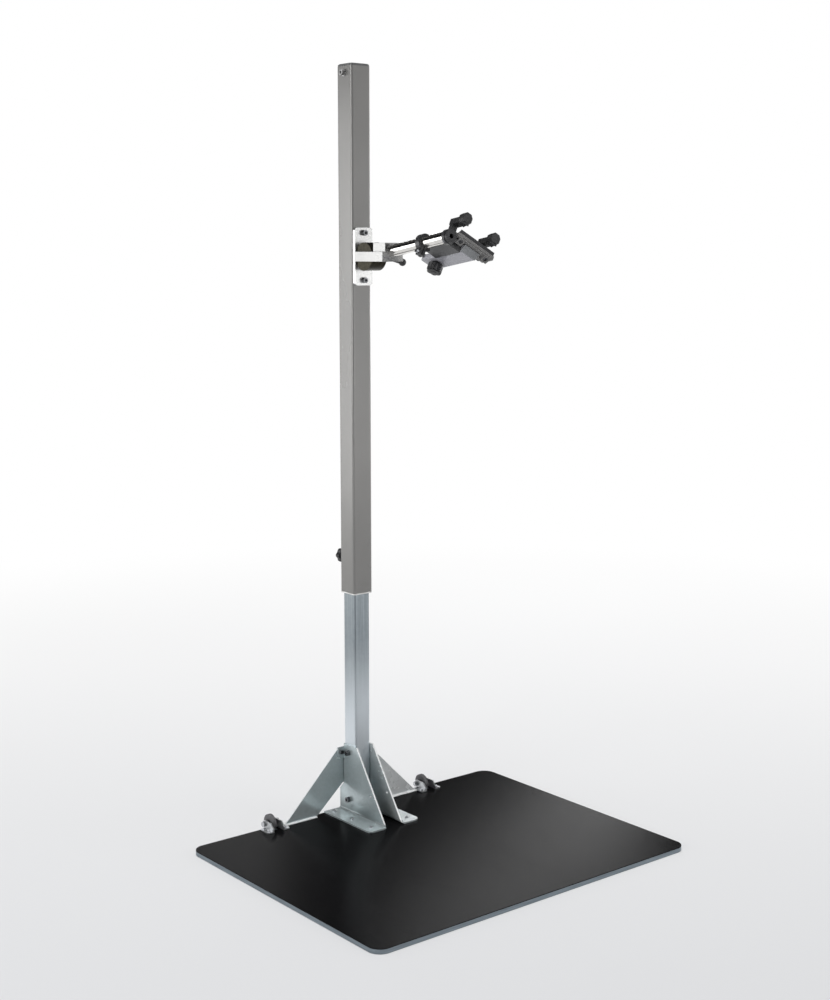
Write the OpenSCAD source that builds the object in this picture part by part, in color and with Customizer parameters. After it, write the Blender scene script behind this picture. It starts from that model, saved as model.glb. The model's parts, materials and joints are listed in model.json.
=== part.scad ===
// Bicycle lift: a telescoping column on a heavy plate, with a tilting arm and a clamp for the frame tube.
// Millimetres. The origin is the centre of the plate's underside, +Y points to the rear, +Z up.

/* [Base plate] */
// Width of the base plate
plate_w = 900; // [800:10:1000]
// Depth of the base plate
plate_d = 700; // [640:10:800]
// Thickness of the steel plate
plate_t = 10; // [8:0.5:14]
// Corner radius of the plate
plate_r = 30; // [15:1:45]
// Thickness of the black covering on the plate
cover_t = 1.5; // [1:0.25:3]

/* [Column] */
// Distance from the plate's rear edge to the column's centre
col_inset = 37; // [37:0.5:45]
// Side of the outer tube
outer_s = 55; // [55:0.5:60]
// Corner radius of the outer tube
outer_r = 6; // [5:0.25:7]
// Height of the outer tube's lower end above the plate, as the lift stands
outer_rise = 548; // [540:1:600]
// Length of the outer tube
outer_len = 1220; // [1180:5:1260]
// Length of the inner tube
inner_len = 1250; // [1230:5:1270]
// Running gap between the two tubes
tube_gap = 2; // [2:0.1:2.5]
// Wall of both tubes
wall = 3; // [2.5:0.1:3.2]

/* [Foot brackets] */
// Height of the gussets above the plate
gusset_h = 170; // [150:1:174]
// Thickness of the gusset sheet
gusset_t = 4; // [3:0.25:5]
// Reach of the gussets in front of the column's centre
gusset_reach = 145; // [130:1:170]
// Width of the gusset's foot, from the column's side
foot_w = 53; // [48:0.5:60]
// Thickness of the brace sheet
brace_t = 3; // [2.5:0.1:4]

/* [Transport wheels] */
// Diameter of a wheel
wheel_d = 42; // [38:0.5:43]
// Width of a tyre
wheel_w = 10; // [8:0.5:12]
// Distance of each wheel from the middle
wheel_x = 232; // [228:1:260]

/* [Arm] */
// Height of the arm's pivot above the plate
pivot_rise = 1340; // [1300:1:1380]
// Upward slope of the arm
arm_deg = 8.8; // [0:0.1:14]
// Length of the arm from its pivot to the end ring
arm_len = 284.5; // [280:0.5:330]
// Diameter of the arm tube
arm_d = 27; // [25:0.25:28]
// Radius of the tilt barrel
barrel_r = 32; // [30:0.25:33]

/* [Clamp] */
// Turn of the clamp head about the arm
head_deg = 30; // [0:1:45]
// Diameter of the frame tube held
held_d = 26; // [24:0.25:30]
// Sideways offset of the jaws from the arm
jaw_t = 69; // [69:0.5:76]
// Length of the lower jaw
jaw_len = 106; // [102:0.5:106]
// Spacing of the two fingers
finger_gap = 87; // [84:0.5:88]

/* [Hidden] */
$fn = 64;
deck = plate_t + cover_t;
col_y = plate_d / 2 - col_inset;
outer_z = deck + outer_rise;
outer_top = outer_z + outer_len;
outer_in = outer_s - 2 * wall;
inner_s = outer_in - 2 * tube_gap;
inner_r = outer_r - 1;
inner_in = inner_s - 2 * wall;
inner_top = deck + inner_len;
run = 0.05;
slide_gap = 0.3;
col_front = col_y - outer_s / 2;
col_rear = col_y + outer_s / 2;
side_x = inner_s / 2;
rear_y = col_y + inner_s / 2;

// Gas spring inside the column
spring_z = outer_top - 15;
collar_h = 60;
collar_cap = 4;
gland_h = 30;
cyl_d = 28;
cyl_bore = 24;
cyl_rise = 415;
cyl_low = outer_z + cyl_rise;
cyl_high = spring_z - 20;
rod_d = 14;
rod_rise = 553;
rod_low = deck + rod_rise;
rod_tip = 1328;
rod_high = deck + rod_tip;
anchor_rise = 33;
anchor_z = deck + anchor_rise;
support_d = 24;
support_lap = 30;
support_top = rod_low + support_lap;

// Height lock on the column's rear
lock_rise = 80;
lock_z = outer_z + lock_rise;
lock_d = 10;
lock_pad_t = 1.4;
lock_boss_h = 12;
lock_knob_y = col_rear + lock_boss_h + 3;

// Screws and bolts
bolt_d = 8;
bolt_head_d = 13;
bolt_head_h = 8;
screw_d = 6;
top_bolt_rise = 151;
top_bolt_z = deck + top_bolt_rise;
foot_screw_in = 32;
foot_screw_x = side_x + foot_screw_in;
foot_screw_front = 124;
foot_screw_mid = 50;
foot_screw_rear = 22;
foot_screw_y = [col_y - foot_screw_front, col_y - foot_screw_mid, col_y + foot_screw_rear];
gusset_hole_front = 88;
gusset_hole_rise = 64;

// Gussets and braces
gusset_front = col_y - gusset_reach;
gusset_rear = rear_y - 2.5;
gusset_out = side_x + gusset_t;
foot_out = side_x + foot_w;
gusset_back = rear_y + 13.5;
gusset_step = deck + 72;
tab_w = 18;
tab_h = 28;
tab_top = deck + gusset_h - 8;
tab_bolt_x = gusset_out + tab_w / 2;
tab_bolt_z = tab_top - 12;
brace_top = deck + gusset_h - 12;
brace_low = deck + 71;
brace_foot = 92;
brace_bolt_x = 11;
brace_bolt_z = brace_top - 25;
bend_r = 5;
brace_toe = 5;
brace_edge = 0.6 * brace_t;

// Transport wheels
wheel_y = plate_d / 2;
wheel_z = deck + wheel_d / 2 - 10;
wheel_notch = wheel_w + 6;
cheek_t = 3;
cheek_gap = 27;
cheek_h = wheel_z + 9 - deck;
cheek_front = wheel_y - 38;
cheek_foot = 14.5;
brace_end = wheel_x - cheek_gap / 2 - cheek_t - cheek_foot - 0.5;
brace_screw_x = [brace_end - brace_foot + 16, brace_end - 16];
lip_back = plate_d / 2 - 0.5;
brace_screw_y = (rear_y + brace_t + lip_back) / 2;
axle_d = 8;
cheek_screw_d = 4;
cheek_screw_off = cheek_gap / 2 + cheek_t + cheek_foot / 2 - 1;
cheek_screw_y = [wheel_y - 31, wheel_y - 9];

// Arm mount and tilt joint
mount_t = 8;
mount_y = col_front - mount_t;
pivot_y = mount_y - barrel_r + 4.5;
pivot_z = deck + pivot_rise;
mount_w = 50;
mount_h = 132;
mount_bolt = 54;
barrel_w = 42;
fork_in = barrel_w / 2 + 0.4;
fork_t = 8;
fork_out = fork_in + fork_t;
fork_h = 22;
fork_back = 24;
fork_block = barrel_r + 4;
fork_front = fork_block + 44;
fork_socket = fork_block + 8;
block_low = min(-fork_h / 2, fork_socket * tan(arm_deg) - arm_d / 2 - 4.5);
block_top = max(fork_h / 2, fork_front * tan(arm_deg) + arm_d / 2 + 5);
pin_d = 12;

// Clamp head, in its own axes: x along the held tube, y back along the arm, z across both
ring_d = arm_d + 6;
ring_out = arm_d + 3;
ring_front = -4;
ring_back = 3;
sleeve_d = arm_d + 13;
sleeve_front = ring_back + slide_gap;
collar_back = sleeve_front + 7.7;
sleeve_back = 98;
hoop = 14;
web_front = 16;
web_low = -10;
ear_low = -sleeve_d / 2 - 11;
ear_z = -sleeve_d / 2 - 5;
ear_half = 7;
slit = 2;
set_d = 5;
set_y = (sleeve_front + collar_back) / 2;
set_deg = 26;
body_screw_y = [46, 66];
body_screw_d = 4;
pad_t = 2;
pad_half = held_d * 0.433;
pad_rise = held_d / 4;
held_y = 6;
rail_z = 9;
rail_t = 9.5;
rail_front = held_y - pad_half - 0.75;
rail_back = 30;
rail_top = rail_z + rail_t;
held_z = rail_top + pad_t + held_d / 2;
lug_gap = finger_gap - 10;
lug_w = 18;
lug_tilt = 32;
lug_low = rail_z - lug_w * sin(lug_tilt);
lug_mid = rail_front + lug_w * cos(lug_tilt);
lug_back = lug_mid + (rail_z - lug_low) * tan(lug_tilt);
lug_head_d = 11;
lug_head_h = 3.5;
lug_sink = 6;
lug_depth = (rail_t - 3.5 + lug_w / 2 * sin(lug_tilt)) / cos(lug_tilt);
body_w = 44;
body_h = 14.5;
body_front = 6;
body_slant = 40;
body_back = 150;
body_wall = 3;
body_cap_t = 2;
body_left = jaw_t - body_w / 2;
body_low = rail_z - body_h;
body_screw_z = rail_z - body_h / 2;
finger_z = held_z + held_d / 2 + pad_t;
finger_back = held_y + 7;
finger_deep = 17;
yoke_z = rail_z + 7;
yoke_t = 6;
yoke_front = rail_back + 3;
stem_w = 14;
stem_t = 12;
block_w = 24;
block_h = 23;
spindle_d = 10;
spindle_y = 122;
spindle_low = body_low - 20;
spindle_rise = 44;
spindle_high = yoke_z + spindle_rise;
knob_d = 36;
knob_h = 20;
knob_grip = 14;

// Finishes
zinc = "silver";
warm_grey = [0.62, 0.62, 0.60];
dark_grey = [0.30, 0.31, 0.33];
black = [0.08, 0.08, 0.09];
rubber = [0.13, 0.13, 0.14];
steel = [0.72, 0.74, 0.77];

// Rectangle with round corners, centred
module round_rect(w, h, r) {
  square([w - 2 * r, h], center = true);
  square([w, h - 2 * r], center = true);
  for (x = [-1, 1], y = [-1, 1]) translate([x * (w / 2 - r), y * (h / 2 - r)]) circle(r);
}

// Square tube standing on z = 0
module square_tube(s, r, t, h) {
  linear_extrude(h) difference() {
    round_rect(s, s, r);
    round_rect(s - 2 * t, s - 2 * t, max(r - t, 1));
  }
}

// Sheet drawn in y and z, from x0 to x1
module sheet_yz(x0, x1) {
  translate([x0, 0, 0]) rotate([90, 0, 90]) linear_extrude(x1 - x0) children();
}

// Waste outside a rounded bend along x or y, whose corner is at the origin
module bend_waste_x(r, x0, x1) {
  difference() {
    translate([x0, -1, -1]) cube([x1 - x0, r + 1, r + 1]);
    translate([0, r, r]) rod_x(2 * r, x0 - 1, x1 + 1);
  }
}
module bend_waste_y(r, y0, y1) {
  difference() {
    translate([-1, y0, -1]) cube([r + 1, y1 - y0, r + 1]);
    translate([r, 0, r]) rod_y(2 * r, y0 - 1, y1 + 1);
  }
}

// Sheet drawn in x and z, from y0 to y1
module sheet_xz(y0, y1) {
  translate([0, y1, 0]) rotate([90, 0, 0]) linear_extrude(y1 - y0) children();
}

// Rod along x, y or z, from one end to the other
module rod_x(d, x0, x1) {
  translate([x0, 0, 0]) rotate([0, 90, 0]) cylinder(d = d, h = x1 - x0);
}
module rod_y(d, y0, y1) {
  translate([0, y0, 0]) rotate([-90, 0, 0]) cylinder(d = d, h = y1 - y0);
}
module rod_z(d, z0, z1) {
  translate([0, 0, z0]) cylinder(d = d, h = z1 - z0);
}

// Socket head on z = 0, facing up, with its hexagon socket
module socket_head(d, h) {
  difference() {
    cylinder(d = d, h = h);
    translate([0, 0, h * 0.45]) cylinder(d = d * 0.55, h = h, $fn = 6);
  }
}

// Socket screw with its head above z = 0 and its shank below
module socket_screw(d, head_d, head_h, len) {
  socket_head(head_d, head_h);
  translate([0, 0, -len]) cylinder(d = d, h = len);
}

// Low round screw, its shank below z = 0
module low_screw(d, len) {
  difference() {
    cylinder(d = d * 1.7, h = d * 0.45);
    translate([0, 0, d * 0.2]) cylinder(d = d * 0.8, h = d, $fn = 6);
  }
  translate([0, 0, -len]) cylinder(d = d, h = len);
}

// Copy that faces the other side of the lift
module mirrored(on) {
  mirror([on ? 1 : 0, 0, 0]) children();
}

// Star knob standing on z = 0, with a blind hole for its screw
module star_knob(d, h, bore, depth) {
  lobes = 6;
  difference() {
    cylinder(d = d, h = h);
    for (i = [0:lobes - 1]) rotate(i * 360 / lobes)
      translate([d * 0.56, 0, -1]) cylinder(d = d * 0.24, h = h + 2);
    translate([0, 0, -1]) cylinder(d = bore, h = depth + 1);
  }
}

// Places of the arm's and the head's own axes
module at_arm() {
  translate([0, pivot_y, pivot_z]) rotate([-arm_deg, 0, 0]) children();
}
module at_head() {
  at_arm() translate([0, -arm_len, 0]) rotate([0, head_deg, 0]) children();
}
module at_held() {
  translate([jaw_t, held_y, held_z]) children();
}

// Holes that go down into the plate under the brackets
module plate_holes() {
  for (s = [-1, 1]) {
    for (y = foot_screw_y) translate([s * foot_screw_x, y, 0]) rod_z(screw_d, 2, deck + 1);
    for (x = brace_screw_x) translate([s * x, brace_screw_y, 0]) rod_z(cheek_screw_d, 3, deck + 1);
    for (y = cheek_screw_y, e = [-1, 1])
      translate([s * wheel_x + e * cheek_screw_off, y, 0]) rod_z(cheek_screw_d, 3, deck + 1);
    translate([s * wheel_x - wheel_notch / 2, wheel_y - wheel_d / 2 - 3, -1])
      cube([wheel_notch, wheel_d, deck + 2]);
  }
}

// Base

module base_plate() color(steel) difference() {
  linear_extrude(plate_t) round_rect(plate_w, plate_d, plate_r);
  plate_holes();
}

module plate_covering() color(black) difference() {
  translate([0, 0, plate_t]) linear_extrude(cover_t) round_rect(plate_w, plate_d, plate_r);
  plate_holes();
}

module inner_column() color(zinc) difference() {
  translate([0, col_y, deck]) square_tube(inner_s, inner_r, wall, inner_len);
  translate([0, col_y, anchor_z]) rod_x(bolt_d, -inner_s, inner_s);
  translate([0, col_y, top_bolt_z]) rod_x(bolt_d, -inner_s, inner_s);
  for (s = [-1, 1]) translate([s * brace_bolt_x, 0, brace_bolt_z]) rod_y(screw_d, col_y, rear_y + 1);
}

// Gusset sheet against the column's side, with its foot and a tab for the brace
module gusset() {
  corner = 14;
  foot_d = gusset_back - gusset_front + 3;
  difference() {
    union() {
      sheet_yz(side_x, gusset_out) polygon([
        [gusset_front, deck], [col_y - 31, deck + gusset_h], [gusset_rear, deck + gusset_h],
        [gusset_rear, gusset_step], [gusset_back, gusset_step - 18], [gusset_back, deck]]);
      translate([gusset_out, gusset_front - 3, deck]) linear_extrude(gusset_t) {
        square([foot_out - gusset_out - corner, foot_d]);
        translate([0, corner]) square([foot_out - gusset_out, foot_d - corner]);
        translate([foot_out - gusset_out - corner, corner]) circle(corner);
      }
      translate([gusset_out, 0, deck + gusset_t]) difference() {
        translate([-1, gusset_front, -1]) cube([bend_r + 1, gusset_back - gusset_front, bend_r + 1]);
        translate([bend_r, 0, bend_r]) rod_y(2 * bend_r, gusset_front - 1, gusset_back + 1);
      }
      translate([gusset_out - 1, rear_y - gusset_t, tab_top - tab_h]) cube([tab_w + 1, gusset_t, tab_h]);
    }
    translate([side_x, 0, deck]) bend_waste_y(bend_r + gusset_t, gusset_front - 4, gusset_back + 1);
    for (z = [anchor_z, top_bolt_z]) translate([0, col_y, z]) rod_x(bolt_d, 0, gusset_out + 1);
    translate([0, col_y - gusset_hole_front, deck + gusset_hole_rise]) rod_x(bolt_d, 0, gusset_out + 1);
    for (y = foot_screw_y) translate([foot_screw_x, y, 0]) rod_z(screw_d, deck - 1, deck + gusset_t + 1);
    translate([tab_bolt_x, 0, tab_bolt_z]) rod_y(screw_d, rear_y - gusset_t - 1, rear_y + 1);
  }
}
module left_gusset() color(zinc) mirrored(true) gusset();
module right_gusset() color(zinc) gusset();

// Diagonal brace behind the column, on a foot strip with a rounded front edge
module brace() {
  difference() {
    union() {
      sheet_xz(rear_y, rear_y + brace_t) polygon([
        [1, brace_low], [1, brace_top], [gusset_out + 16, brace_top], [brace_end, deck],
        [brace_end - brace_foot, deck], [gusset_out + 2, brace_low]]);
      translate([brace_end - brace_foot, rear_y - brace_toe, deck])
        cube([brace_foot, lip_back - rear_y + brace_toe, brace_t]);
    }
    translate([0, rear_y - brace_toe, deck + brace_t]) mirror([0, 0, 1])
      bend_waste_x(brace_edge, brace_end - brace_foot - 1, brace_end + 1);
    translate([tab_bolt_x, 0, tab_bolt_z]) rod_y(screw_d, rear_y - 1, rear_y + brace_t + 1);
    translate([brace_bolt_x, 0, brace_bolt_z]) rod_y(screw_d, rear_y - 1, rear_y + brace_t + 1);
    for (x = brace_screw_x)
      translate([x, brace_screw_y, 0]) rod_z(cheek_screw_d, deck - 1, deck + brace_t + 1);
  }
}
module left_brace() color(zinc) mirrored(true) brace();
module right_brace() color(zinc) brace();

// Socket bolts that hold the gussets, each with a nut inside the column
module gusset_bolts() color(dark_grey) for (s = [false, true]) mirrored(s)
  translate([gusset_out, col_y, top_bolt_z]) rotate([0, 90, 0]) {
    socket_screw(bolt_d, bolt_head_d, bolt_head_h, gusset_t + wall + 5);
    translate([0, 0, -gusset_t - wall - 5]) cylinder(d = 13, h = 5, $fn = 6);
  }

// Bolt through both gussets and the column that carries the gas spring
module lower_anchor_bolt() color(dark_grey) translate([0, col_y, anchor_z]) {
  rod_x(bolt_d, -gusset_out, gusset_out + 9);
  translate([-gusset_out, 0, 0]) rotate([0, -90, 0]) socket_head(bolt_head_d, bolt_head_h);
  translate([gusset_out, 0, 0]) rotate([0, 90, 0]) cylinder(d = 15, h = 6.5, $fn = 6);
}

module flange_screws() color(steel) for (s = [-1, 1], y = foot_screw_y)
  translate([s * foot_screw_x, y, deck + gusset_t]) low_screw(screw_d, gusset_t + deck - 2);

// Bolts that join each brace to its gusset and to the column
module brace_bolts() color(dark_grey) for (s = [false, true]) mirrored(s) {
  translate([tab_bolt_x, rear_y - gusset_t, tab_bolt_z]) rotate([90, 0, 0]) {
    socket_screw(screw_d, 10, 6, gusset_t + brace_t + 6);
    translate([0, 0, -gusset_t - brace_t - 5]) cylinder(d = 11, h = 5, $fn = 6);
  }
  translate([brace_bolt_x, rear_y + brace_t, brace_bolt_z]) rotate([-90, 0, 0])
    socket_screw(screw_d, 10, 6, brace_t + wall + 1);
}

module brace_screws() color(steel) for (s = [-1, 1], x = brace_screw_x)
  translate([s * x, brace_screw_y, deck + brace_t]) low_screw(cheek_screw_d, deck + brace_t - 3);

// Slide collar around the inner tube's upper end
module upper_guide() color(black) translate([0, col_y, inner_top - collar_h]) difference() {
  linear_extrude(collar_h + collar_cap)
    round_rect(outer_in - 2 * slide_gap, outer_in - 2 * slide_gap, inner_r);
  translate([0, 0, -1]) linear_extrude(collar_h + 1) round_rect(inner_s, inner_s, inner_r);
  cylinder(d = cyl_d + 4, h = collar_h + 2 * collar_cap);
}

module spring_support_tube() color(steel) difference() {
  translate([0, col_y, 0]) difference() {
    rod_z(support_d, anchor_z - 14, support_top);
    rod_z(rod_d, anchor_z + 14, support_top + 1);
  }
  translate([0, col_y, anchor_z]) rod_x(bolt_d, -support_d, support_d);
}

module gas_spring_rod() color(steel) translate([0, col_y, 0]) {
  rod_z(rod_d, rod_low, rod_high);
  rod_z(cyl_bore - 2 * slide_gap, rod_high - 20, rod_high);
}

// Angle bracket beside a transport wheel, on the wheel's +X side
module cheek() {
  difference() {
    union() {
      sheet_yz(cheek_gap / 2, cheek_gap / 2 + cheek_t) {
        polygon([[cheek_front, deck], [cheek_front, deck + 8], [cheek_front + 12, deck + cheek_h],
                 [wheel_y, deck + cheek_h], [wheel_y, deck]]);
        translate([wheel_y, wheel_z]) circle(9);
      }
      translate([cheek_gap / 2 + cheek_t, cheek_front, deck]) linear_extrude(cheek_t) union() {
        square([cheek_foot - 4, wheel_y - cheek_front - 2]);
        translate([0, 4]) square([cheek_foot, wheel_y - cheek_front - 10]);
        for (y = [4, wheel_y - cheek_front - 6]) translate([cheek_foot - 4, y]) circle(4);
      }
    }
    translate([0, wheel_y, wheel_z]) rod_x(axle_d, 0, cheek_gap);
    for (y = cheek_screw_y)
      translate([cheek_screw_off, y, 0]) rod_z(cheek_screw_d, deck - 1, deck + cheek_t + 1);
  }
}
module at_wheel(s) {
  translate([s * wheel_x, 0, 0]) children();
}
module left_outer_cheek() color(zinc) at_wheel(-1) mirrored(true) cheek();
module left_inner_cheek() color(zinc) at_wheel(-1) cheek();
module right_inner_cheek() color(zinc) at_wheel(1) mirrored(true) cheek();
module right_outer_cheek() color(zinc) at_wheel(1) cheek();

// Axle bolt with its head outside and its nut inside
module axle() {
  half = cheek_gap / 2 + cheek_t;
  translate([0, wheel_y, wheel_z]) {
    rod_x(axle_d, -half, half + 8);
    translate([-half, 0, 0]) rotate([0, -90, 0]) cylinder(d = 14, h = 5, $fn = 6);
    translate([half, 0, 0]) rotate([0, 90, 0]) cylinder(d = 14, h = 6, $fn = 6);
  }
}
module left_axle() color(steel) at_wheel(-1) axle();
module right_axle() color(steel) at_wheel(1) mirrored(true) axle();

module cheek_screws() color(steel) for (s = [-1, 1], e = [-1, 1], y = cheek_screw_y)
  translate([s * wheel_x + e * cheek_screw_off, y, deck + cheek_t])
    low_screw(cheek_screw_d, deck + cheek_t - 3);

// Tyre ring and long-nosed hub of a transport wheel
module tyre() {
  translate([-wheel_w / 2, wheel_y, wheel_z]) rotate([0, 90, 0]) rotate_extrude()
    polygon([[10, 0], [wheel_d / 2 - 1.5, 0], [wheel_d / 2, 1.5], [wheel_d / 2, wheel_w - 1.5],
             [wheel_d / 2 - 1.5, wheel_w], [10, wheel_w]]);
}
module hub() {
  noses = cheek_gap / 2 - slide_gap;
  translate([0, wheel_y, wheel_z]) difference() {
    union() {
      rod_x(14, -noses, noses);
      rod_x(20, -wheel_w / 2, wheel_w / 2);
    }
    rod_x(axle_d + 2 * run, -noses - 1, noses + 1);
  }
}
module left_tyre() color(rubber) at_wheel(-1) tyre();
module left_hub() color(dark_grey) at_wheel(-1) hub();
module right_tyre() color(rubber) at_wheel(1) tyre();
module right_hub() color(dark_grey) at_wheel(1) hub();

// Lifting column

module outer_column() color(warm_grey) difference() {
  translate([0, col_y, outer_z]) square_tube(outer_s, outer_r, wall, outer_len);
  translate([0, col_y, spring_z]) rod_x(bolt_d, -outer_s, outer_s);
  for (z = [-mount_bolt, mount_bolt]) translate([0, 0, pivot_z + z]) rod_y(bolt_d, col_front - 1, col_y);
  translate([0, 0, lock_z]) rod_y(lock_d + 2 * run, col_y, col_rear + 1);
}

// Plug in the outer tube's top, with a chamfered head
module top_cap() color(warm_grey) translate([0, col_y, outer_top]) {
  linear_extrude(3.5) round_rect(outer_s - 1, outer_s - 1, outer_r);
  translate([0, 0, 3.5]) linear_extrude(1.5) round_rect(outer_s - 5, outer_s - 5, outer_r);
  translate([0, 0, -8]) square_tube(outer_in, outer_r - wall, 3, 8);
}

// Slide bush in the outer tube's lower end
module lower_guide() color("gainsboro") translate([0, col_y, outer_z]) difference() {
  union() {
    linear_extrude(50) round_rect(outer_in, outer_in, outer_r - wall);
    translate([0, 0, -3]) linear_extrude(3) round_rect(outer_s, outer_s, outer_r);
  }
  translate([0, 0, -4]) linear_extrude(60)
    round_rect(inner_s + 2 * slide_gap, inner_s + 2 * slide_gap, inner_r - 0.5);
}

module upper_anchor_bolt() color(dark_grey) translate([0, col_y, spring_z]) {
  half = outer_s / 2;
  rod_x(bolt_d, -half, half + 8);
  translate([-half, 0, 0]) rotate([0, -90, 0]) {
    cylinder(d = 17, h = 1.5);
    translate([0, 0, 1.5]) socket_head(bolt_head_d, bolt_head_h);
  }
  translate([half, 0, 0]) rotate([0, 90, 0]) cylinder(d = 15, h = 6.5, $fn = 6);
}

module gas_spring_cylinder() color(black) translate([0, col_y, 0]) difference() {
  rod_z(cyl_d, cyl_low, cyl_high);
  rod_z(cyl_bore, cyl_low - 1, cyl_high - 10);
}

module spring_gland() color(steel) translate([0, col_y, cyl_low]) difference() {
  cylinder(d = cyl_bore, h = gland_h);
  translate([0, 0, -1]) cylinder(d = rod_d + 2 * run, h = gland_h + 2);
}

module spring_eye() color(steel) difference() {
  translate([0, col_y, 0]) union() {
    rod_z(16, cyl_high, spring_z);
    translate([0, 0, spring_z]) rod_x(22, -8, 8);
  }
  translate([0, col_y, spring_z]) rod_x(bolt_d, -9, 9);
}

// Clamping screw that holds the height, on the rear of the outer tube
module lock_boss() color(warm_grey) translate([0, 0, lock_z]) difference() {
  rod_y(22, col_rear, col_rear + lock_boss_h);
  rod_y(lock_d + 2 * run, col_rear - 1, col_rear + lock_boss_h + 1);
}
module lock_screw() color(steel) translate([0, 0, lock_z])
  rod_y(lock_d, rear_y + slide_gap + lock_pad_t, lock_knob_y + knob_grip);
module lock_pad() color("peru") translate([0, 0, lock_z])
  rod_y(16, rear_y + slide_gap, rear_y + slide_gap + lock_pad_t);
module lock_knob() color(black) translate([0, lock_knob_y, lock_z]) rotate([-90, 0, 0])
  star_knob(knob_d, knob_h, lock_d, knob_grip);

// Arm

module arm_mount_plate() color(zinc) difference() {
  translate([0, 0, pivot_z]) sheet_xz(mount_y, col_front) round_rect(mount_w, mount_h, 7);
  for (z = [-mount_bolt, mount_bolt])
    translate([0, 0, pivot_z + z]) rod_y(bolt_d, mount_y - 1, col_front + 1);
}

// Bolts threaded into the outer tube's wall, flush inside
module mount_bolts() color(dark_grey) for (z = [-mount_bolt, mount_bolt])
  translate([0, mount_y, pivot_z + z]) rotate([90, 0, 0])
    socket_screw(bolt_d, bolt_head_d, bolt_head_h, mount_t + wall - slide_gap);

// Barrel on the mount plate, which the arm's fork tilts about
module tilt_barrel() color(dark_grey) difference() {
  translate([0, pivot_y, pivot_z]) rod_x(2 * barrel_r, -barrel_w / 2, barrel_w / 2);
  translate([-barrel_w, mount_y, pivot_z - 2 * barrel_r]) cube([2 * barrel_w, barrel_r, 4 * barrel_r]);
  translate([0, pivot_y, pivot_z]) rod_x(pin_d + 2 * run, -barrel_w, barrel_w);
}

// Level fork with a block between its bars, bored upwards for the arm tube
module arm_fork() color(zinc) at_arm() difference() {
  rotate([arm_deg, 0, 0]) {
    for (s = [-1, 1]) translate([s * (fork_in + fork_t / 2), 0, 0])
      translate([-fork_t / 2, -fork_front, -fork_h / 2]) cube([fork_t, fork_front + fork_back, fork_h]);
    translate([-fork_in, -fork_front, block_low])
      cube([2 * fork_in, fork_front - fork_block, block_top - block_low]);
  }
  rod_x(pin_d, -fork_out - 1, fork_out + 1);
  rod_y(arm_d, -fork_front - fork_h, -fork_socket);
}

module arm_tube() color(steel) at_arm() difference() {
  rod_y(arm_d, -arm_len, -fork_socket);
  rod_y(arm_d - 2 * wall, -arm_len - 1, 1 - fork_socket);
}

// Black ring that keeps the head on the arm tube
module arm_end_ring() color(black) at_arm() translate([0, -arm_len, 0]) difference() {
  rod_y(ring_out, ring_front, ring_back);
  rod_y(arm_d, 0, ring_back + 1);
  rod_y(11, ring_front - 1, 1);
}

// Pin through the fork and the barrel, flush with the near bar
module tilt_pin() color(zinc) at_arm() rod_x(pin_d, -fork_out, fork_out + 24);

// Clamping lever on the pin's far side
module tilt_lever() color(black) at_arm() translate([fork_out, 0, 0]) difference() {
  union() {
    rod_x(24, slide_gap, 22);
    translate([11, 0, 0]) rotate([110, 0, 0]) {
      translate([0, 0, 8]) cylinder(d = 11, h = 58);
      translate([0, 0, 66]) sphere(d = 17);
    }
  }
  rod_x(pin_d + 2 * run, -1, 25);
}

// Clamp head

// Two hoops around the arm tube, joined by a block that reaches to the clamp's box
module head_sleeve() color(dark_grey) at_head() difference() {
  union() {
    rod_y(ring_d, sleeve_front, web_front + 1);
    rod_y(sleeve_d, sleeve_back - hoop, sleeve_back);
    translate([0, web_front, web_low]) cube([body_left, sleeve_back - web_front, rail_z - 1 - web_low]);
    translate([-ear_half, sleeve_back - hoop, ear_low]) cube([2 * ear_half, hoop, sleeve_d / 2]);
  }
  rod_y(arm_d + 2 * run, sleeve_front - 1, sleeve_back + 1);
  translate([-slit / 2, sleeve_back - hoop - 1, ear_low - 1]) cube([slit, hoop + 2, 1 - ear_low]);
  translate([-arm_d, collar_back, -arm_d]) cube([arm_d, sleeve_back - hoop - collar_back, 2 * arm_d]);
  translate([0, sleeve_back - hoop / 2, ear_z]) rod_x(screw_d, -ear_half - 1, ear_half + 1);
  translate([0, set_y, 0]) rotate([0, 180 + set_deg, 0]) rod_z(set_d, arm_d / 2 - 1, ring_d);
  for (y = body_screw_y) translate([0, y, body_screw_z]) rod_x(body_screw_d, body_left - 12, body_left + 1);
}

// Screw that pinches the rear hoop, set screw of the front hoop, and screws that hold the box
module sleeve_screws() color(steel) at_head() {
  translate([-ear_half, sleeve_back - hoop / 2, ear_z]) rotate([0, -90, 0]) {
    socket_screw(screw_d, 10, 6, 2 * ear_half + 6);
    translate([0, 0, -2 * ear_half - 5]) cylinder(d = 11, h = 5, $fn = 6);
  }
  translate([0, set_y, 0]) rotate([0, 180 + set_deg, 0]) translate([0, 0, arm_d / 2 + slide_gap])
    socket_head(set_d, ring_d / 2 - arm_d / 2 + 2);
  for (y = body_screw_y) translate([body_left + body_wall, y, body_screw_z]) rotate([0, 90, 0])
    low_screw(body_screw_d, body_wall + 12);
}

// Places the slanted front of the clamp's box
module at_slant() {
  translate([jaw_t, body_front, rail_z]) rotate([body_slant, 0, 0]) children();
}

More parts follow.
